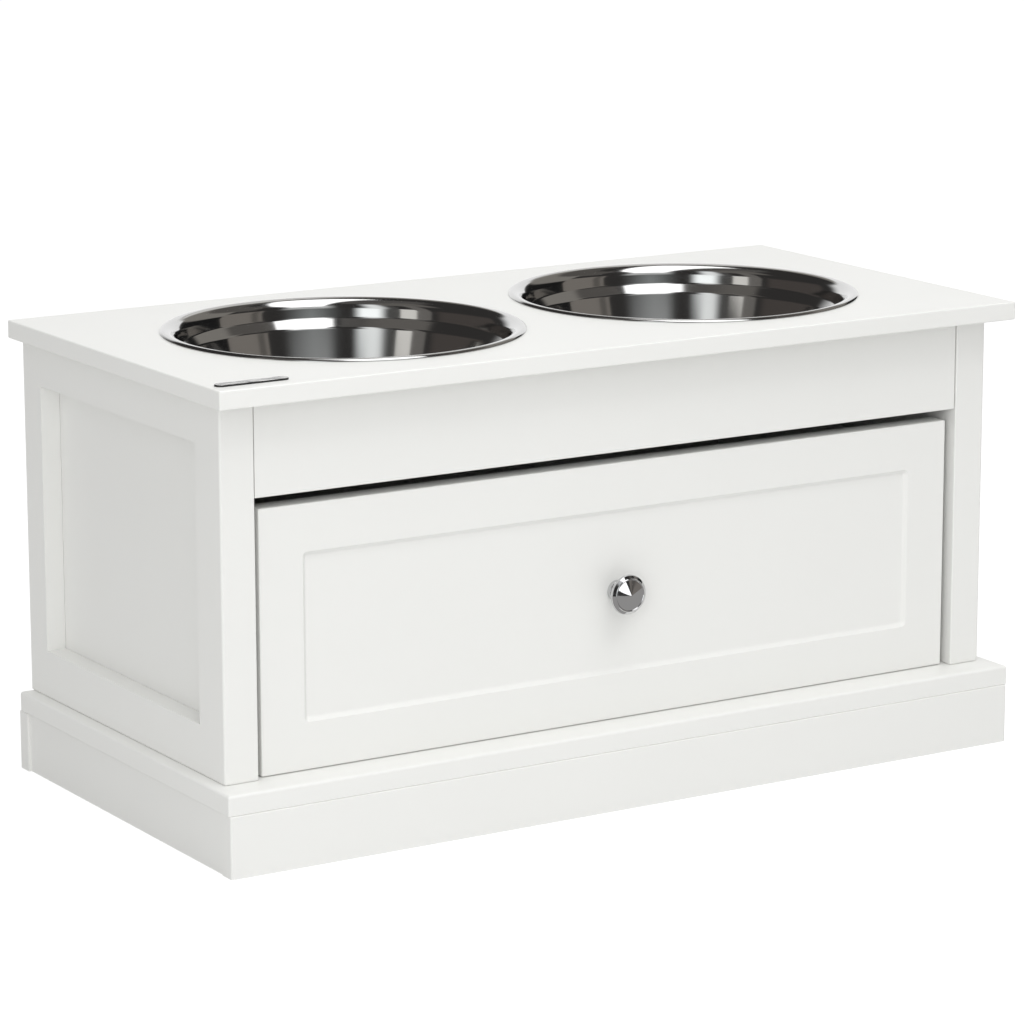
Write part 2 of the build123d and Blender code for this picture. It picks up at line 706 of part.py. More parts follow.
for side, sign in sides.items():
    with BuildPart() as drawer_side:
        block((sign * box_inner_x, sign * box_x), (drawer_back_of_front_y, box_back_y),
              (box_low_z, box_high_z))
        fillet(drawer_side.edges().filter_by(Axis.Y).group_by(Axis.Z)[-1], drawer_edge_radius)
        groove_x = (sign * box_inner_x, sign * (box_inner_x + groove_cut))
        groove_y = (drawer_back_of_front_y, box_back_front_y + groove_cut)
        block(groove_x, groove_y, drawer_groove_z, Mode.SUBTRACT)
        for z in drawer_cam_zs:
            bolt_end = (sign * (box_inner_x + cam_bolt_inset), drawer_back_of_front_y, z)
            cam_pocket((sign * box_inner_x, drawer_cam_y, z), (sign, 0, 0), BACKWARDS, bolt_end)
        for z in back_screw_zs:
            countersunk_hole((sign * box_x, box_back_mid_y, z), (-sign, 0, 0), back_screw_radius,
                             back_screw_head_radius, drawer_board)
        for y in slide_screw_ys:
            rod((sign * box_x, y, slide_z), (-sign, 0, 0), slide_screw_radius + fastener_play,
                slide_screw_reach, Mode.SUBTRACT)
    finish(drawer_side.part, f"drawer_{side}_side")

with BuildPart() as drawer_back:
    block((-box_inner_x, box_inner_x), (box_back_front_y, box_back_y), (box_low_z, box_high_z))
    fillet(drawer_back.edges().filter_by(Axis.X).group_by(Axis.Z)[-1], drawer_edge_radius)
    block((-box_inner_x, box_inner_x), (box_back_front_y, box_back_front_y + groove_cut),
          drawer_groove_z, Mode.SUBTRACT)
    for sign in sides.values():
        for z in back_screw_zs:
            rod((sign * box_inner_x, box_back_mid_y, z), (-sign, 0, 0),
                back_screw_radius + fastener_play, back_screw_length, Mode.SUBTRACT)
finish(drawer_back.part, "drawer_back")

with BuildPart() as drawer_bottom:
    block(
        (-box_inner_x - drawer_groove_depth, box_inner_x + drawer_groove_depth),
        (drawer_back_of_front_y - drawer_groove_depth, box_back_front_y + drawer_groove_depth),
        (drawer_bottom_z, drawer_bottom_z + drawer_bottom_thickness),
    )
finish(drawer_bottom.part, "drawer_bottom")

with BuildPart() as drawer_cams:
    for sign in sides.values():
        for z in drawer_cam_zs:
            cam((sign * box_inner_x, drawer_cam_y, z), (sign, 0, 0), BACKWARDS)
finish(drawer_cams.part, "drawer_cams")

with BuildPart() as drawer_cam_bolts:
    for sign in sides.values():
        for z in drawer_cam_zs:
            seat = (sign * (box_inner_x + cam_bolt_inset), drawer_back_of_front_y, z)
            cam_bolt(seat, BACKWARDS, drawer_cam_setback)
finish(drawer_cam_bolts.part, "drawer_cam_bolts")

with BuildPart() as drawer_back_screws:
    for sign in sides.values():
        for z in back_screw_zs:
            countersunk_screw((sign * box_x, box_back_mid_y, z), (-sign, 0, 0), back_screw_radius,
                              back_screw_head_radius, back_screw_length)
finish(drawer_back_screws.part, "drawer_back_screws")

# ---------------------------------------------------------------- knob and its screw
with BuildPart() as knob:
    # Drawn with the radius along +X and the height above the field along +Y of the sketch
    with BuildSketch(Plane(origin=(0, field_y, drawer_front_mid_z), x_dir=(1, 0, 0), z_dir=DOWN)):
        with BuildLine():
            collar = FilletPolyline(
                (0, 0),
                (knob_collar_radius, 0),
                (knob_collar_radius, knob_collar_height),
                (knob_neck_radius, knob_collar_height),
                radius=[knob_collar_edge_radius / 2, knob_collar_edge_radius],
            )
            neck = Line(collar @ 1, (knob_neck_radius, knob_neck_height))
            flare = TangentArc(neck @ 1, (knob_back_radius, knob_back_height), tangent=neck % 1)
            rim = ThreePointArc(
                flare @ 1,
                (knob_rim_radius, (knob_back_height + knob_rim_height) / 2),
                (knob_back_radius, knob_rim_height),
            )
            bevel = Line(rim @ 1, (knob_face_radius, knob_face_height))
            ring = ThreePointArc(
                bevel @ 1,
                (knob_face_radius - knob_ring_width / 2, knob_face_height + knob_ring_height),
                (knob_face_radius - knob_ring_width, knob_face_height),
            )
            crown = Line(ring @ 1, (0, knob_face_height + knob_crown))
            Line(crown @ 1, (0, 0))
        make_face()
    revolve(axis=Axis((0, field_y, drawer_front_mid_z), FORWARDS))
    rod((0, field_y, drawer_front_mid_z), FORWARDS, knob_screw_radius + fastener_play,
        knob_screw_reach + dowel_end_play, Mode.SUBTRACT)
finish(knob.part, "knob")

with BuildPart() as knob_screw:
    head_seat = (0, drawer_back_of_front_y, drawer_front_mid_z)
    rod(head_seat, BACKWARDS, knob_screw_head_radius, knob_screw_head_height)
    fillet(knob_screw.faces().sort_by(Axis.Y)[-1].edges(), knob_screw_head_height / 3)
    rod(head_seat, FORWARDS, knob_screw_radius,
        drawer_back_of_front_y - field_y + knob_screw_reach)
finish(knob_screw.part, "knob_screw")

# ---------------------------------------------------------------- slides
# Sections are drawn on the plane of the rail's front end: x runs from the side frame
# towards the drawer, y runs up from the slide's middle.
for side, sign in sides.items():
    from_frame = Plane(
        origin=(sign * inner_x, slide_front_y, slide_z), x_dir=(-sign, 0, 0), z_dir=(0, sign, 0)
    )
    along = sign * slide_length

    with BuildPart() as cabinet_rail:
        with BuildSketch(from_frame):
            with BuildLine():
                half = slide_height / 2
                tip = cabinet_rail_reach
                Polyline(
                    (0, -half), (tip, -half), (tip, -race_out_z + race_lip),
                    (tip - race_lip_width, -race_out_z + race_lip), (tip - race_lip_width, -race_out_z),
                    (slide_sheet, -race_out_z), (slide_sheet, race_out_z),
                    (tip - race_lip_width, race_out_z), (tip - race_lip_width, race_out_z - race_lip),
                    (tip, race_out_z - race_lip), (tip, half), (0, half),
                    close=True,
                )
            make_face()
        extrude(amount=along)
        for y in slide_screw_ys:
            web_face = (sign * (inner_x - slide_sheet), y, slide_z)
            countersunk_hole(web_face, (sign, 0, 0), slide_screw_radius, slide_screw_head_radius,
                             slide_sheet)
    finish(cabinet_rail.part, f"{side}_cabinet_rail")

    with BuildPart() as drawer_rail:
        with BuildSketch(from_frame):
            with BuildLine():
                start, web = drawer_rail_start, slide_thickness - slide_sheet
                inside_z = race_in_z - slide_sheet
                Polyline(
                    (slide_thickness, -race_in_z), (slide_thickness, race_in_z),
                    (start + race_lip_width, race_in_z), (start + race_lip_width, race_in_z + race_lip),
                    (start, race_in_z + race_lip), (start, inside_z), (web, inside_z),
                    (web, -inside_z), (start, -inside_z), (start, -race_in_z - race_lip),
                    (start + race_lip_width, -race_in_z - race_lip), (start + race_lip_width, -race_in_z),
                    close=True,
                )
            make_face()
        extrude(amount=along)
        for y in slide_screw_ys:
            rod((sign * box_x, y, slide_z), (sign, 0, 0), slide_screw_radius + fastener_play,
                slide_sheet, Mode.SUBTRACT)
    finish(drawer_rail.part, f"{side}_drawer_rail")

    cage_y = slide_mid_y - cage_length / 2
    ball_spots = [
        (sign * (inner_x - ball_row_x), slide_mid_y + (i - (balls_in_row - 1) / 2) * ball_pitch,
         slide_z + row * ball_z)
        for i in range(balls_in_row)
        for row in (-1, 1)
    ]
    with BuildPart() as ball_cage:
        finger = cage_start + cage_reach
        cage_z = ball_z + cage_sheet / 2
        with BuildSketch(from_frame.offset(sign * (cage_y - slide_front_y))):
            with BuildLine():
                inner = cage_start + cage_sheet
                low = cage_z - cage_sheet
                Polyline(
                    (cage_start, -cage_z), (finger, -cage_z), (finger, -low), (inner, -low),
                    (inner, low), (finger, low), (finger, cage_z), (cage_start, cage_z),
                    close=True,
                )
            make_face()
        extrude(amount=sign * cage_length)
        for x, y, z in ball_spots:
            rod((x, y, z - cage_sheet), UP, ball_radius + ball_hole_play, 2 * cage_sheet, Mode.SUBTRACT)
    finish(ball_cage.part, f"{side}_ball_cage")

    with BuildPart() as slide_balls:
        with Locations(ball_spots):
            Sphere(ball_radius)
    finish(slide_balls.part, f"{side}_slide_balls")

with BuildPart() as cabinet_rail_screws:
    for sign in sides.values():
        for y in slide_screw_ys:
            countersunk_screw((sign * (inner_x - slide_sheet), y, slide_z), (sign, 0, 0),
                              slide_screw_radius, slide_screw_head_radius,
                              slide_sheet + slide_screw_reach)
finish(cabinet_rail_screws.part, "cabinet_rail_screws")

with BuildPart() as drawer_rail_screws:
    for sign in sides.values():
        for y in slide_screw_ys:
            head_seat = (sign * (box_x + slide_sheet), y, slide_z)
            rod(head_seat, (sign, 0, 0), slide_screw_head_radius, slide_screw_head_height)
            rod(head_seat, (-sign, 0, 0), slide_screw_radius, slide_sheet + slide_screw_reach)
finish(drawer_rail_screws.part, "drawer_rail_screws")
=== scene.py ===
# %% [markdown]
# # A raised feeder for a dog: two steel bowls over a drawer
#
# The real feeder is a low case of white painted board. Two spun steel bowls hang by their
# flanges in round holes in its top, and a wide drawer with one round knob slides out below
# them. The frame, which was drawn in a CAD program, already holds every board and screw at
# its true size, so this lesson only adds what the eye wants: paint, polish and light, and
# the few turned pieces whose mirror finish shows every facet.

import json
import math

import bmesh
import bpy
from mathutils import Matrix, Vector


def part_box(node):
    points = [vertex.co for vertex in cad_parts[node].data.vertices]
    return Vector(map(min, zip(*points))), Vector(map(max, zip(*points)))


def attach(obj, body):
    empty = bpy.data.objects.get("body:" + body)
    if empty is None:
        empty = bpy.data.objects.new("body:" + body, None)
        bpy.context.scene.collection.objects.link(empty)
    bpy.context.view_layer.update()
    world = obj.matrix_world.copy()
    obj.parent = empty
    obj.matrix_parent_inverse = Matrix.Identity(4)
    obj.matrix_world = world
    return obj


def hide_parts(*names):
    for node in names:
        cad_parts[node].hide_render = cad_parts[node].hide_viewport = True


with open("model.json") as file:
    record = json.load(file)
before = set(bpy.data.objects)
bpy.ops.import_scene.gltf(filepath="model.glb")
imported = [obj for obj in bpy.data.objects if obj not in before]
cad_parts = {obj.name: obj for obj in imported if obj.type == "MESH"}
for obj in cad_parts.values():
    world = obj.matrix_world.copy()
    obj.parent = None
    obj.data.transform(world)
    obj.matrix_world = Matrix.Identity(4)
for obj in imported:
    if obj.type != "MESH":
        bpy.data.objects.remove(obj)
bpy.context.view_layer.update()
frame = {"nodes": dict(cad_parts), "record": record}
nodes = frame["nodes"]
MM = 0.001

# %% [markdown]
# ## Where the camera stands
#
# The picture that this scene follows was taken from the left front, a little above the top,
# and from far away, so parallel edges hardly close up. Place, turn and lens were solved from
# the feeder's own edges, so that every corner falls where it does in the picture. A lens
# this long could also be guessed and nudged by eye, but the long straight boards would show
# every degree of error.

# %% Camera
CAMERA_PLACE = Vector((-1.4423, -2.3256, 0.7716))
CAMERA_YAW = math.radians(31.71785664)
CAMERA_PITCH = math.radians(12.44926849)
CAMERA_ROLL = math.radians(-0.09390091)
FOCAL_PIXELS = 4197.8
PICTURE_PIXELS = 1024
SENSOR_MM = 36.0
FAR_CLIP = 100

camera_data = bpy.data.cameras.new("camera")
camera_data.sensor_width = SENSOR_MM
camera_data.lens = SENSOR_MM * FOCAL_PIXELS / PICTURE_PIXELS
camera_data.clip_end = FAR_CLIP
camera = bpy.data.objects.new("camera", camera_data)
bpy.context.scene.collection.objects.link(camera)
camera.matrix_world = (
    Matrix.Translation(CAMERA_PLACE)
    @ Matrix.Rotation(-CAMERA_YAW, 4, "Z")
    @ Matrix.Rotation(math.pi / 2 - CAMERA_PITCH, 4, "X")
    @ Matrix.Rotation(CAMERA_ROLL, 4, "Z")
)
bpy.context.scene.camera = camera
print("camera lens", round(camera_data.lens, 2), "mm")

# %% [markdown]
# ## A short way to write shader maths
#
# A finish is a small sum: so much gloss, a little more where the noise is high. Nodes say
# that with boxes and wires, which are slow to read in a script. The class below wraps one
# output socket, so that `0.4 + 0.1 * noise` adds the Math nodes by itself, and one method
# adds every other kind of node.


# %% Wires and finishes
class Wire:
    """A node's output that can be used in sums."""

    def __init__(self, finish, socket):
        self.finish, self.socket = finish, socket

    def math(self, operation, other=0.0):
        """Puts this value, and another where the operation takes two, through a Math node."""
        return self.finish.node("ShaderNodeMath", {"operation": operation}, {0: self, 1: other})

    def __add__(self, other):
        return self.math("ADD", other)

    def __sub__(self, other):
        return self.math("SUBTRACT", other)

    def __mul__(self, other):
        return self.math("MULTIPLY", other)

    def __rsub__(self, other):
        return self.finish.node("ShaderNodeMath", {"operation": "SUBTRACT"}, {0: other, 1: self})

    __radd__, __rmul__ = __add__, __mul__


class Finish:
    """A material, with one Principled BSDF whose sockets are set by name."""

    def __init__(self, name, **constants):
        self.material = bpy.data.materials.new(name)
        self.material.use_nodes = True
        self.tree = self.material.node_tree
        self.shader = self.tree.nodes["Principled BSDF"]
        self.output = self.tree.nodes["Material Output"]
        for socket, value in constants.items():
            self.set(socket.replace("_", " "), value)

    def socket(self, sockets, key):
        if isinstance(key, int):
            return sockets[key]
        return next(s for s in sockets if key in (s.identifier, s.name))

    def put(self, socket, value):
        if isinstance(value, Wire):
            self.tree.links.new(value.socket, socket)
        else:
            socket.default_value = value

    def set(self, key, value):
        names = {s.name.lower(): s for s in self.shader.inputs}
        self.put(names[key.lower()], value)

    def node(self, kind, settings=None, inputs=None, output=0):
        """Adds a node: its settings first, then the values or wires of its sockets."""
        node = self.tree.nodes.new(kind)
        for name, value in (settings or {}).items():
            setattr(node, name, value)
        for key, value in (inputs or {}).items():
            self.put(self.socket(node.inputs, key), value)
        return Wire(self, self.socket(node.outputs, output))

    def place(self, stretch=(1, 1, 1), centre=(0, 0, 0)):
        """Object coordinates in metres, measured from a centre and stretched along each axis."""
        where = self.node("ShaderNodeTexCoord", output="Object")
        moved = self.node("ShaderNodeVectorMath", {"operation": "SUBTRACT"}, {0: where, 1: centre})
        return self.node("ShaderNodeVectorMath", {"operation": "MULTIPLY"}, {0: moved, 1: stretch})

    def noise(self, where, size, detail=2.0, roughness=0.5):
        """Soft noise from 0 to 1 whose blotches are about `size` metres across."""
        return self.node(
            "ShaderNodeTexNoise",
            inputs={"Vector": where, "Scale": 1 / size, "Detail": detail, "Roughness": roughness},
        )

    def mix(self, factor, first, second):
        """One colour turning into another."""
        inputs = {"Factor_Float": factor, "A_Color": first, "B_Color": second}
        return self.node("ShaderNodeMix", {"data_type": "RGBA"}, inputs, output="Result_Color")

    def bump(self, height, depth):
        """Turns a height from 0 to 1 into relief `depth` metres deep."""
        inputs = {"Height": height, "Distance": depth, "Strength": 1.0}
        return self.node("ShaderNodeBump", inputs=inputs)

    def coordinate(self, where, number):
        """One coordinate of a place: 0 for x, 1 for y, 2 for z."""
        return self.node("ShaderNodeSeparateXYZ", inputs={0: where}, output=number)


def rgba(*values):
    return (*values, 1.0)


# %% [markdown]
# ## White lacquer
#
# The boards are sprayed with satin white lacquer over fibreboard. Close up such a coat is
# never quite flat: it has the fine dimples called orange peel, one or two millimetres
# across, a slightly uneven gloss, and hardly any change of colour. All three are noise at
# different sizes. A photograph of paint would do the same, but it would repeat and could
# not be resized.


# %% White lacquer
DRIFT_SIZE, PEEL_SIZE, GRIT_SIZE = 90 * MM, 1.6 * MM, 0.35 * MM
PEEL_DEPTH = 0.006 * MM


def lacquer(name, colour, shade, rough):
    finish = Finish(name, Specular_IOR_Level=0.36)
    where = finish.place()
    drift = finish.noise(where, DRIFT_SIZE, detail=3)
    peel = finish.noise(where, PEEL_SIZE, detail=1.5)
    grit = finish.noise(where, GRIT_SIZE, detail=1)
    finish.set("Base Color", finish.mix(drift, rgba(*colour), rgba(*shade)))
    finish.set("Roughness", rough + 0.10 * (drift - 0.5) + 0.08 * (grit - 0.5))
    finish.set("Normal", finish.bump(peel + 0.25 * grit, PEEL_DEPTH))
    return finish.material


finishes = {}
finishes["white_lacquer"] = lacquer(
    "white_lacquer", (0.87, 0.872, 0.852), (0.852, 0.854, 0.833), rough=0.40
)
print("lacquer ready")

# %% [markdown]
# ## Foil, hardboard and bare wood
#
# What the lacquer doesn't cover is plainer. The drawer's box is wrapped in matt white foil
# with a faint emboss, the thin back and the drawer's bottom are hardboard with the small
# pebbles of its pressing, and the corner blocks and dowels are bare wood, whose grain is
# noise stretched a long way along the piece.


# %% Foil and hardboard
def foil(name, colour, shade):
    finish = Finish(name, Specular_IOR_Level=0.4)
    where = finish.place()
    emboss = finish.noise(finish.place(stretch=(1, 0.35, 1)), 0.9 * MM, detail=2)
    drift = finish.noise(where, 60 * MM, detail=2)
    finish.set("Base Color", finish.mix(drift, rgba(*colour), rgba(*shade)))
    finish.set("Roughness", 0.52 + 0.12 * (emboss - 0.5))
    finish.set("Normal", finish.bump(emboss, 0.012 * MM))
    return finish.material


def hardboard(name, colour, shade):
    finish = Finish(name, Specular_IOR_Level=0.3)
    where = finish.place()
    pebbles = finish.node(
        "ShaderNodeTexVoronoi",
        {"feature": "SMOOTH_F1"},
        {"Vector": where, "Scale": 1 / (2.2 * MM), "Smoothness": 0.6},
    )
    drift = finish.noise(where, 45 * MM, detail=3)
    finish.set("Base Color", finish.mix(drift, rgba(*colour), rgba(*shade)))
    finish.set("Roughness", 0.6 + 0.15 * (pebbles - 0.4))
    finish.set("Normal", finish.bump(pebbles, 0.02 * MM))
    return finish.material


def bare_wood(name, pale, dark, along):
    stretch = [1.0, 1.0, 1.0]
    stretch[along] = 0.06
    finish = Finish(name, Specular_IOR_Level=0.3)
    grain = finish.noise(finish.place(stretch=stretch), 2.4 * MM, detail=4, roughness=0.65)
    pores = finish.noise(finish.place(stretch=stretch), 0.5 * MM, detail=2)
    finish.set("Base Color", finish.mix(grain, rgba(*pale), rgba(*dark)))
    finish.set("Roughness", 0.6 + 0.2 * (pores - 0.5))
    finish.set("Normal", finish.bump(0.6 * pores + 0.4 * grain, 0.05 * MM))
    return finish.material


finishes["white_foil"] = foil("white_foil", (0.82, 0.82, 0.81), (0.79, 0.79, 0.78))
finishes["hardboard"] = hardboard("hardboard", (0.80, 0.80, 0.785), (0.765, 0.762, 0.745))
finishes["softwood"] = bare_wood("softwood", (0.72, 0.56, 0.34), (0.56, 0.38, 0.20), along=2)
finishes["beech"] = bare_wood("beech", (0.68, 0.48, 0.30), (0.55, 0.36, 0.21), along=1)
print("board finishes", sorted(finishes))

# %% [markdown]
# ## Metals
#
# Spinning and polishing leave rings round a bowl's axis, too fine to count but enough to
# smear a reflection into streaks. Rings are noise that reads only the distance from the
# axis and the height, so it can't change along the turn. Rolled zinc-plated steel has
# straight drawing lines instead, and the die-cast locks are dull and slightly grainy. The
# little plate on the top is brushed, with painted dark glints in spots on its face and a
# painted dark reflection on its sides.


# %% Turned and rolled metal
BRUSH_DEPTH = 0.004 * MM
GRAINY = (1, 1, 1)


def turned_metal(name, colour, centre, axis, rough, ring_size, ring_depth):
    """Metal with rings round an axis: 1 for a front-to-back axis, 2 for an upright one."""
    finish = Finish(name, Metallic=1.0, Base_Color=rgba(*colour))
    flat = [1.0, 1.0, 1.0]
    flat[axis] = 0.0
    around = finish.place(stretch=flat, centre=centre)
    radius = finish.node(
        "ShaderNodeVectorMath", {"operation": "LENGTH"}, {0: around}, output="Value"
    )
    height = finish.coordinate(finish.place(centre=centre), axis)
    section = finish.node("ShaderNodeCombineXYZ", inputs={0: radius, 1: height})
    rings = finish.noise(section, ring_size, detail=3, roughness=0.6)
    smudge = finish.noise(finish.place(), 25 * MM, detail=3)
    finish.set("Roughness", rough + 0.5 * rough * (rings - 0.5) + 0.4 * rough * (smudge - 0.5))
    finish.set("Normal", finish.bump(rings, ring_depth))
    return finish.material


def rolled_metal(name, colour, shade, rough, stretch=(1, 0.03, 1)):
    finish = Finish(name, Metallic=1.0)
    lines = finish.noise(finish.place(stretch=stretch), 0.4 * MM, detail=2)
    spangle = finish.noise(finish.place(), 9 * MM, detail=3)
    finish.set("Base Color", finish.mix(spangle, rgba(*colour), rgba(*shade)))
    finish.set("Roughness", rough + 0.12 * (lines - 0.5) + 0.1 * (spangle - 0.5))
    finish.set("Normal", finish.bump(lines, BRUSH_DEPTH))
    return finish.material


finishes["zinc_sheet"] = rolled_metal("zinc_sheet", (0.62, 0.63, 0.65), (0.55, 0.56, 0.58), 0.30)
finishes["zinc_screws"] = rolled_metal(
    "zinc_screws", (0.60, 0.61, 0.63), (0.52, 0.53, 0.55), 0.28, stretch=GRAINY
)
finishes["zinc_casting"] = rolled_metal(
    "zinc_casting", (0.58, 0.59, 0.60), (0.50, 0.51, 0.52), 0.42, stretch=GRAINY
)
finishes["steel_balls"] = rolled_metal(
    "steel_balls", (0.60, 0.60, 0.60), (0.55, 0.55, 0.55), 0.12, stretch=GRAINY
)
print("zinc and steel finishes ready")


# %% Nameplate metal
FACE_SKIN = 0.25 * MM  # how far below the plate's top its face reaches, above the painted dark reflection on its sides


def plate_metal(name, bright, glint_dark, edge):
    """Brushed metal with painted dark glints in spots, and a painted dark reflection on its sides
    below the face.
    """
    finish = Finish(name, Metallic=1.0)
    face_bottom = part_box("nameplate")[1].z - FACE_SKIN
    # the sides below the face get a painted dark reflection in their colour
    on_edge = finish.coordinate(finish.place(), 2).math("LESS_THAN", face_bottom)
    # spots of painted dark glints on the face, which also vary its roughness
    glint_patches = finish.noise(finish.place(stretch=(0.35, 1, 1)), 3.5 * MM, detail=3, roughness=0.6)
    lines = finish.noise(finish.place(stretch=(0.05, 1, 1)), 0.4 * MM, detail=2)
    # the face turns to the painted dark glint colour in spots
    face = finish.mix(3.5 * (glint_patches - 0.38), rgba(*bright), rgba(*glint_dark))
    # painted dark reflection on the sides, the face with its painted glints above them
    finish.set("Base Color", finish.mix(on_edge, face, rgba(*edge)))
    finish.set("Roughness", 0.22 + 0.1 * (lines - 0.5) + 0.08 * (glint_patches - 0.5))
    finish.set("Normal", finish.bump(lines, BRUSH_DEPTH))
    return finish.material


# face colour, painted dark glint colour, painted dark reflection on the sides
finishes["plate_metal"] = plate_metal(
    "plate_metal", (0.66, 0.66, 0.65), (0.10, 0.10, 0.10), (0.05, 0.05, 0.05)
)
print("plate metal ready")

# %% [markdown]
# ## Give every node its finish
#
# The record says which finish each CAD node takes, so the nodes are dressed from it. The
# bowls and the knob are replaced below, and their nodes only stay for the physics.

# %% Dress the nodes
slot_of = {part["node"]: part["material_slot"] for part in frame["record"]["subparts"]}
for name, node in nodes.items():
    if slot_of[name] in finishes:
        node.data.materials.clear()
        node.data.materials.append(finishes[slot_of[name]])
print("dressed", sum(slot in finishes for slot in slot_of.values()), "nodes")

# %% [markdown]
# ## Turning on a lathe
#
# Bowls and knobs are round, so they are made as a turner makes them: half the section is
# drawn, its corners are rounded, and it is spun about the axis. The section starts as one
# point, which is pulled out from corner to corner, and each corner is bevelled as a vertex.
# The bevel's length along both legs follows from the radius that the corner should get.


# %% Lathe
SAME_PLACE = 1e-6  # metres within which two corners are one
ARC_STEPS = 8
RIGHT, FORWARD, UP = Vector((1, 0, 0)), Vector((0, -1, 0)), Vector((0, 0, 1))


def pick(piece, test):
    """Selects the vertices of the open piece that pass a test of their place."""
    mesh = bmesh.from_edit_mesh(piece.data)
    for vertex in mesh.verts:
        vertex.select_set(bool(test(vertex.co)))
    mesh.select_flush_mode()
    bmesh.update_edit_mesh(piece.data)


def corner_reach(before, corner, after, radius):
    """How far along its legs a corner of this radius starts."""
    turn = (corner - before).angle(after - corner)
    return radius * math.tan(turn / 2)


def turned(name, corners, origin, axis, steps):
    """Spins a section. A corner is (distance from the axis, height, radius of its rounding)."""
    bpy.ops.object.select_all(action="DESELECT")
    spots = [origin + RIGHT * (r * MM) + axis * (h * MM) for r, h, _ in corners]
    bpy.ops.mesh.primitive_plane_add(size=1 * MM, location=spots[0])
    piece = bpy.context.object
    piece.name = piece.data.name = name
    bpy.ops.object.transform_apply(location=True, rotation=True, scale=True)
    bpy.ops.object.mode_set(mode="EDIT")
    bpy.ops.mesh.select_all(action="SELECT")
    bpy.ops.mesh.merge(type="CENTER")
    for here, there in zip(spots, spots[1:]):
        bpy.ops.mesh.extrude_region_move(TRANSFORM_OT_translate={"value": there - here})
    for i, (_, _, radius) in enumerate(corners):
        if radius:
            reach = corner_reach(spots[i - 1], spots[i], spots[i + 1], radius * MM)
            pick(piece, lambda place: (place - spots[i]).length < SAME_PLACE)
            bpy.ops.mesh.bevel(offset=reach, segments=ARC_STEPS, affect="VERTICES")
    bpy.ops.mesh.select_all(action="SELECT")
    bpy.ops.mesh.spin(steps=steps, angle=2 * math.pi, center=origin, axis=axis)
    bpy.ops.mesh.select_all(action="SELECT")
    bpy.ops.mesh.remove_doubles(threshold=SAME_PLACE)
    bpy.ops.mesh.normals_make_consistent(inside=False)
    bpy.ops.object.mode_set(mode="OBJECT")
    return piece


def smooth(piece, degrees):
    """Shades a piece smooth, but keeps the edges that turn by more than these degrees."""
    bpy.ops.object.select_all(action="DESELECT")
    piece.select_set(True)
    bpy.context.view_layer.objects.active = piece
    bpy.ops.object.shade_smooth_by_angle(angle=math.radians(degrees))


def finish_turning(piece, metal, node, body):
    """Gives a turned piece its metal and puts it in the place of a CAD node."""
    piece.data.materials.append(metal)
    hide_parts(node)
    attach(piece, body)
    print(piece.name, len(piece.data.polygons), "faces")


print("lathe ready,", ARC_STEPS, "steps to a rounded corner")

# %% [markdown]
# ## The bowls
#
# Each bowl is one disc of stainless steel, pressed and spun into a wall with a step near
# its top and a flange that rests on the board. The flange is crowned: it rises from the
# wall in one wide round and bends down again at its edge, which makes the bright line along
# the rim. The section below is the inside of the sheet; Solidify then gives it its 0.7 mm
# wall on the outside, which keeps the wall even round every bend.

# %% Bowls
BOWL_WALL = 0.7 * MM
BOWL_STEPS = 192
# distance from the axis, height above the flange's top, radius of the corner's rounding
BOWL_SECTION = [
    (0, -68, 0),
    (87.8, -68, 20),
    (101, -18.7, 4.2),
    (106, -12.7, 2.5),
    (108.4, 0, 8.6),
    (116.83, 0, 3.4),
    (118.4, -1.35, 0.6),
    (118.4, -2.0, 0),
]


def bowl(side):
    node = f"bowl_{side}"
    low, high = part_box(node)
    centre = Vector(((low.x + high.x) / 2, (low.y + high.y) / 2, high.z))
    piece = turned(f"{node}_spun", BOWL_SECTION, centre, UP, BOWL_STEPS)
    wall = piece.modifiers.new("wall", "SOLIDIFY")
    wall.thickness = BOWL_WALL
    wall.offset = -1
    bpy.ops.object.modifier_apply(modifier=wall.name)
    smooth(piece, 35)
    steel = turned_metal(
        f"stainless_{side}",
        (0.62, 0.62, 0.615),
        centre,
        axis=2,
        rough=0.09,
        ring_size=0.5 * MM,
        ring_depth=0.0015 * MM,
    )
    finish_turning(piece, steel, node, f"{side}_bowl")


for side in ("left", "right"):
    bowl(side)

# %% [markdown]
# ## The knob
#
# The knob is turned and plated bright: a collar on the drawer, a thin neck, and a head with
# a bevelled rim, a thin raised ring and a shallow cone for a face. The cone is what makes
# the sharp wedges of light and dark in it, so its tip isn't rounded. Smooth shading spreads
# the tip's own normal as far as the next corner, so one is set only 0.4 mm from it.

# %% Knob
KNOB_STEPS = 128
# distance from the axis, distance from the drawer front, radius of the corner's rounding
KNOB_SECTION = [
    (0, 18.0, 0),
    (0.4, 17.93, 0),
    (10.0, 16.23, 0.12),
    (10.5, 16.8, 0.25),
    (11.0, 16.2, 0.12),
    (12.75, 14.97, 0.2),
    (13.2, 13.7, 0.3),
    (12.4, 12.4, 0.5),
    (4.5, 10.4, 3.0),
    (4.5, 3.6, 1.0),
    (7.0, 3.6, 1.0),
    (7.0, 0, 0),
    (0, 0, 0),
]


def knob():
    low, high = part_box("knob")
    base = Vector(((low.x + high.x) / 2, high.y, (low.z + high.z) / 2))
    piece = turned("knob_turned", KNOB_SECTION, base, FORWARD, KNOB_STEPS)
    smooth(piece, 25)
    chrome = turned_metal(
        "knob_chrome",
        (0.62, 0.62, 0.63),
        base,
        axis=1,
        rough=0.05,
        ring_size=0.3 * MM,
        ring_depth=0.0004 * MM,
    )
    finish_turning(piece, chrome, "knob", "drawer")


knob()

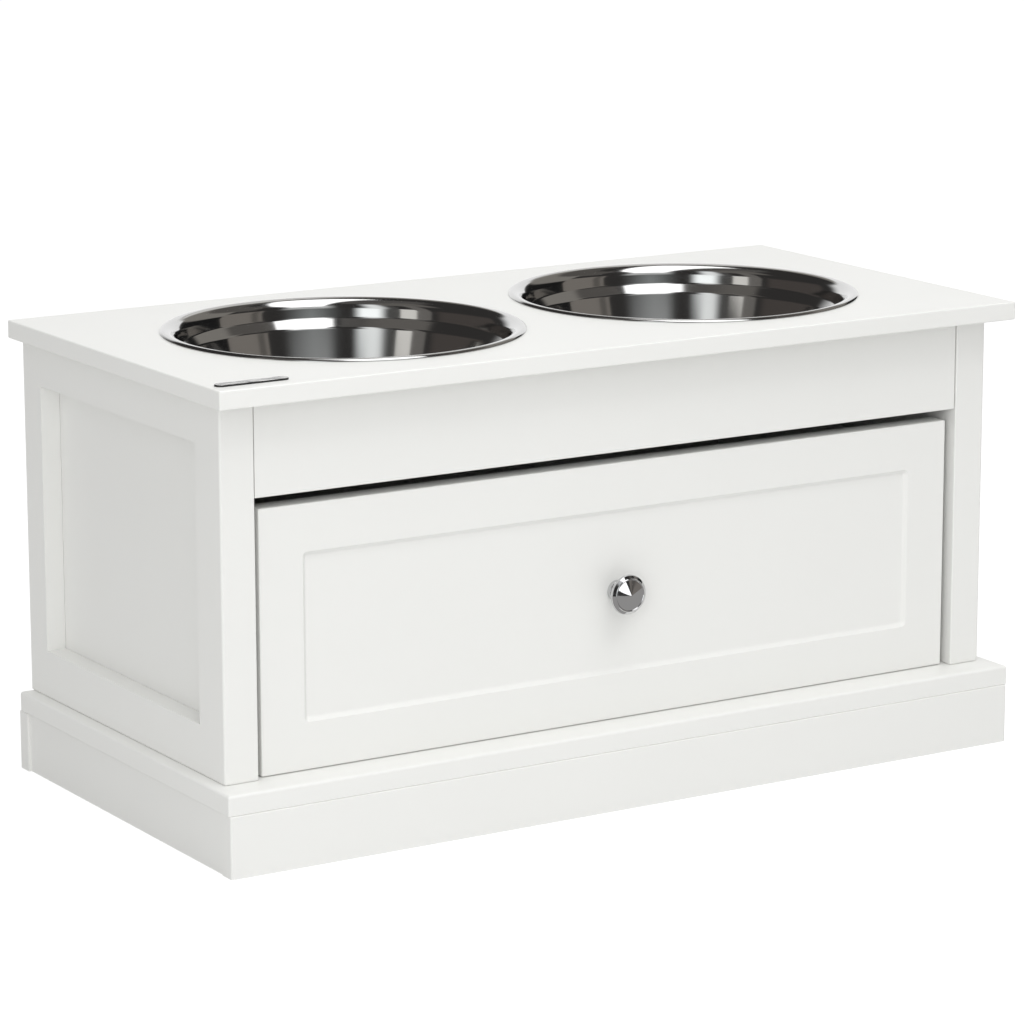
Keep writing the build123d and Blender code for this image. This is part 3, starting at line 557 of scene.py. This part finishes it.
# %% [markdown]
# ## Light, floor and background
#
# A white case on white needs light from a large area and very little contrast: a pale sky
# all round, one wide lamp overhead that makes the top the brightest face, three weaker ones
# on the front and the left, and a floor that throws light back up. The sky and the floor
# look brighter to the lens and to mirrors than they shine, so the background turns white
# and no more light falls on the case.


# %% World
SKY_COLOUR = rgba(1.0, 0.998, 0.99)
SKY_SHINE, SKY_LOOK = 0.51, 1.0


def looked_at(tree):
    """1 for rays of the camera, of mirrors and through glass, and 0 for rays that carry light."""
    rays = tree.nodes.new("ShaderNodeLightPath")
    total = rays.outputs["Is Camera Ray"]
    for kind in ("Is Glossy Ray", "Is Transmission Ray"):
        either = tree.nodes.new("ShaderNodeMath")
        either.operation = "MAXIMUM"
        tree.links.new(total, either.inputs[0])
        tree.links.new(rays.outputs[kind], either.inputs[1])
        total = either.outputs[0]
    return total


def background():
    world = bpy.data.worlds.new("studio")
    world.use_nodes = True
    tree = world.node_tree
    tree.nodes.clear()
    sky = tree.nodes.new("ShaderNodeBackground")
    sky.inputs["Color"].default_value = SKY_COLOUR
    sky.inputs["Strength"].default_value = SKY_SHINE
    white = tree.nodes.new("ShaderNodeBackground")
    white.inputs["Color"].default_value = rgba(1, 1, 1)
    white.inputs["Strength"].default_value = SKY_LOOK
    choice = tree.nodes.new("ShaderNodeMixShader")
    tree.links.new(looked_at(tree), choice.inputs[0])
    tree.links.new(sky.outputs[0], choice.inputs[1])
    tree.links.new(white.outputs[0], choice.inputs[2])
    out = tree.nodes.new("ShaderNodeOutputWorld")
    tree.links.new(choice.outputs[0], out.inputs[0])
    bpy.context.scene.world = world


background()
print("sky shines", SKY_SHINE, "and looks", SKY_LOOK)

# %% Lamps
CASE_MIDDLE, CASE_TOP = (0, 0, 0.15), (0, 0, 0.3)
LAMPS = [
    # name, place, what it points at, width and length, watts
    ("key", (0.1, -2.6, 2.5), CASE_MIDDLE, (2.0, 2.0), 7),
    ("overhead", (0.1, -0.75, 2.8), CASE_TOP, (2.0, 2.6), 39),
    ("camera_side", (-1.8, -2.3, 1.8), CASE_MIDDLE, (2.0, 2.0), 15),
    ("left_fill", (-1.9, -1.9, 0.6), CASE_MIDDLE, (1.0, 1.0), 9),
]


def soft_lamp(name, place, target, size, power):
    """A rectangular lamp that mirrors don't show."""
    data = bpy.data.lights.new(name, "AREA")
    data.shape, data.size, data.size_y, data.energy = "RECTANGLE", *size, power
    lamp = bpy.data.objects.new(name, data)
    bpy.context.scene.collection.objects.link(lamp)
    lamp.location = place
    aim = Vector(target) - Vector(place)
    lamp.rotation_euler = aim.to_track_quat("-Z", "Y").to_euler()
    lamp.visible_glossy = False


for lamp in LAMPS:
    soft_lamp(*lamp)
print("lamps", [lamp[0] for lamp in LAMPS])

# %% Floor
FLOOR_SIZE = 60
FLOOR_SHINE = rgba(0.8, 0.8, 0.8)
FLOOR_SHADOWS, FLOOR_GLOW = rgba(0.22, 0.22, 0.22), 0.91


def floor():
    """Pale paper, which to the lens is nearly white by itself and takes only faint shadows."""
    bpy.ops.object.select_all(action="DESELECT")
    bpy.ops.mesh.primitive_plane_add(size=FLOOR_SIZE)
    ground = bpy.context.object
    ground.name = "floor"
    paper = Finish(
        "floor_paper", Base_Color=FLOOR_SHINE, Roughness=1.0, Specular_IOR_Level=0.0
    )
    faint = paper.tree.nodes.new("ShaderNodeBsdfDiffuse")
    faint.inputs["Color"].default_value = FLOOR_SHADOWS
    glow = paper.tree.nodes.new("ShaderNodeEmission")
    glow.inputs["Strength"].default_value = FLOOR_GLOW
    both = paper.tree.nodes.new("ShaderNodeAddShader")
    paper.tree.links.new(faint.outputs[0], both.inputs[0])
    paper.tree.links.new(glow.outputs[0], both.inputs[1])
    choice = paper.tree.nodes.new("ShaderNodeMixShader")
    paper.tree.links.new(looked_at(paper.tree), choice.inputs[0])
    paper.tree.links.new(paper.shader.outputs[0], choice.inputs[1])
    paper.tree.links.new(both.outputs[0], choice.inputs[2])
    paper.tree.links.new(choice.outputs[0], paper.output.inputs[0])
    ground.data.materials.append(paper.material)


floor()
print("floor", FLOOR_SIZE, "m wide")

# %% [markdown]
# ## What the metal sees
#
# Polished steel has no look of its own: it shows the room. The room here is one large ball
# round the feeder, which only mirror rays can see, so it lights nothing. Its paint is a few
# soft-edged cards, each given by the compass and the height above the horizon in degrees:
# tall strips on the left, dull walls, and an opening to the white background behind the
# feeder. The compass reads 0 behind it and 90 on its right. Three flat things stand nearer,
# because from the bowls and from the knob they lie in different directions: the ground with
# the grey table that the feeder stands on, a big white card overhead, whose edges cut off
# the highlights in the bowls, and a small white card at the table's front edge, which is
# the bright wedge in the knob.


# %% Mirror room
ROOM_CENTRE, ROOM_RADIUS = (0, 0, 0.35), 5
ROOM_WALLS = rgba(0.04, 0.038, 0.037)
ROOM_CARDS = [
    # compass from and to, height from and to, softness, brightness
    (210, 350, 60, 100, 6, (0.11, 0.105, 0.10)),
    (241, 300, 45, 66, 8, (0.155, 0.145, 0.135)),
    (20, 136, 38, 58, 5, (0.115, 0.107, 0.10)),
    (18, 114, 21, 40, 4, (0.26, 0.245, 0.225)),
    (28, 46, 24, 52, 5, (0.75, 0.74, 0.72)),
    (58, 112, -35, 19, 2, (0.015, 0.015, 0.015)),
    (112, 150, -35, 27, 2, (0.235, 0.215, 0.195)),
    (141, 147, -35, 27, 4, (0.13, 0.12, 0.11)),
    (177, 199, -35, 22, 30, (0.34, 0.36, 0.36)),
    (166, 202, 24, 46, 12, (0.68, 0.69, 0.69)),
    (282, 340, -35, 20, 8, (0.08, 0.07, 0.065)),
    (238, 252, -35, 42, 3, (0.09, 0.088, 0.085)),
    (263, 276, -35, 52, 3, (0.18, 0.17, 0.16)),
    (221, 239, -35, 22, 9, (1.5, 1.55, 1.55)),
    (228, 242, 20, 54, 10, (1.1, 1.12, 1.12)),
    (252, 264.5, -35, 21, 1.5, (0.88, 0.86, 0.82)),
]
OPENING_COMPASS = [(3, 100, 22), (-60, 53, 4)]
OPENING_HEIGHT = (-60, 23, 5)
GROUND_SIZE = 9
TABLE_HEIGHT = 0.001
TABLE_X, TABLE_Y = (-1.1, 0.9, 0.04), (-0.75, 3, 0.02)
TABLE_COLOUR = rgba(0.40, 0.395, 0.385)


def band(finish, value, low, high, soft):
    """1 between two edges and 0 outside, with edges `soft` wide."""
    off = (value - (low + high) / 2).math("ABSOLUTE")
    return finish.node(
        "ShaderNodeMapRange",
        {"interpolation_type": "SMOOTHSTEP"},
        {"Value": off, "From Min": (high - low + soft) / 2, "From Max": (high - low - soft) / 2},
    )


def flat_card(name, size, place, turn=(0, 0, 0)):
    """A plane of this width and length, with its origin at the scene's and all applied."""
    bpy.ops.object.select_all(action="DESELECT")
    bpy.ops.mesh.primitive_plane_add(size=1, location=place, rotation=turn)
    card = bpy.context.object
    card.name = name
    card.scale = (*size, 1)
    bpy.ops.object.transform_apply(location=True, rotation=True, scale=True)
    return card


def for_mirrors_only(pieces, paint, colour, brightness, shown):
    """Lets only mirror rays meet the pieces, and lets them through where `shown` is 0."""
    glow = paint.node("ShaderNodeEmission", inputs={"Color": colour, "Strength": brightness})
    clear = paint.node("ShaderNodeBsdfTransparent")
    both = paint.node("ShaderNodeMixShader", inputs={0: shown, 1: clear, 2: glow})
    paint.put(paint.output.inputs[0], both)
    paint.material.cycles.emission_sampling = "NONE"
    for piece in pieces:
        piece.data.materials.append(paint.material)
        piece.visible_camera = piece.visible_diffuse = piece.visible_transmission = False
        piece.visible_volume_scatter = piece.visible_shadow = False


def mirror_room():
    """The ball with its cards, and the ground with the table, in one and the same paint."""
    bpy.ops.object.select_all(action="DESELECT")
    bpy.ops.mesh.primitive_uv_sphere_add(
        segments=64, ring_count=32, radius=ROOM_RADIUS, location=ROOM_CENTRE
    )
    room = bpy.context.object
    room.name = "mirror_room"
    bpy.ops.object.transform_apply(location=True, rotation=True, scale=True)
    paint = Finish("room_walls")
    ground = flat_card("mirror_ground", (GROUND_SIZE, GROUND_SIZE), (0, 0, TABLE_HEIGHT))
    spot = paint.node(
        "ShaderNodeVectorMath", {"operation": "NORMALIZE"}, {0: paint.place(centre=ROOM_CENTRE)}
    )
    x, y, z = (paint.coordinate(spot, number) for number in range(3))
    compass = x.math("ARCTAN2", y) * math.degrees(1)
    height = z.math("ARCSINE") * math.degrees(1)

    def across(left, right, soft):
        middle = (left + right) / 2
        turn = paint.node(
            "ShaderNodeMath", {"operation": "WRAP"}, {0: compass - middle, 1: 180.0, 2: -180.0}
        )
        return band(paint, turn, left - middle, right - middle, soft)

    colour = ROOM_WALLS
    for left, right, bottom, top, soft, shade in ROOM_CARDS:
        card = across(left, right, soft) * band(paint, height, bottom, top, soft)
        colour = paint.mix(card, colour, rgba(*shade))
    opening = band(paint, height, *OPENING_HEIGHT)
    for left, right, soft in OPENING_COMPASS:
        opening = opening * across(left, right, soft)
    x, y = (paint.coordinate(paint.place(), number) for number in range(2))
    on_table = band(paint, x, *TABLE_X) * band(paint, y, *TABLE_Y)
    on_table = on_table * height.math("LESS_THAN", 0.0) * (1 - opening)
    colour = paint.mix(on_table, colour, TABLE_COLOUR)
    for_mirrors_only([room, ground], paint, colour, 1.0, 1 - opening)
    print("mirror room with", len(ROOM_CARDS), "cards")


mirror_room()

# %% Cards near the feeder
CARD_BRIGHTNESS = 2.0
OVERHEAD_HEIGHT, OVERHEAD_SIZE = 2.6, 6
OVERHEAD_X, OVERHEAD_Y = (-2.5, 0.97, 0.06), (-2.6, 0.92, 0.12)
OVERHEAD_SLANTS = [
    # how far x moves for each metre of y, then the two edges and their softness
    (0.22, (-0.18, 4, 0.1)),
    (0.34, (-4, 1.36, 0.1)),
]
KNOB_CARD_PLACE, KNOB_CARD_SIZE = (0.21, -0.75, 0.19), (0.2, 0.26)


def overhead_card():
    """A white card whose left and right edges lean, as cards hung by hand do."""
    place = (0, 0, OVERHEAD_HEIGHT)
    card = flat_card("overhead_card", (OVERHEAD_SIZE, OVERHEAD_SIZE), place)
    paint = Finish("card_white")
    x, y = (paint.coordinate(paint.place(), number) for number in range(2))
    shown = band(paint, y, *OVERHEAD_Y) * band(paint, x, *OVERHEAD_X)
    for slant, edges in OVERHEAD_SLANTS:
        shown = shown * band(paint, x - slant * y, *edges)
    for_mirrors_only([card], paint, rgba(1, 1, 1), CARD_BRIGHTNESS, shown)


def knob_card():
    """An upright white card at the table's edge, which the knob shows as a bright wedge."""
    card = flat_card("knob_card", KNOB_CARD_SIZE, KNOB_CARD_PLACE, (math.pi / 2, 0, 0))
    for_mirrors_only([card], Finish("knob_card_white"), rgba(1, 1, 1), CARD_BRIGHTNESS, 1.0)


overhead_card()
knob_card()
print("cards at", OVERHEAD_HEIGHT, "m overhead and at", KNOB_CARD_PLACE)

# %% View settings
bpy.context.scene.view_settings.view_transform = "Standard"
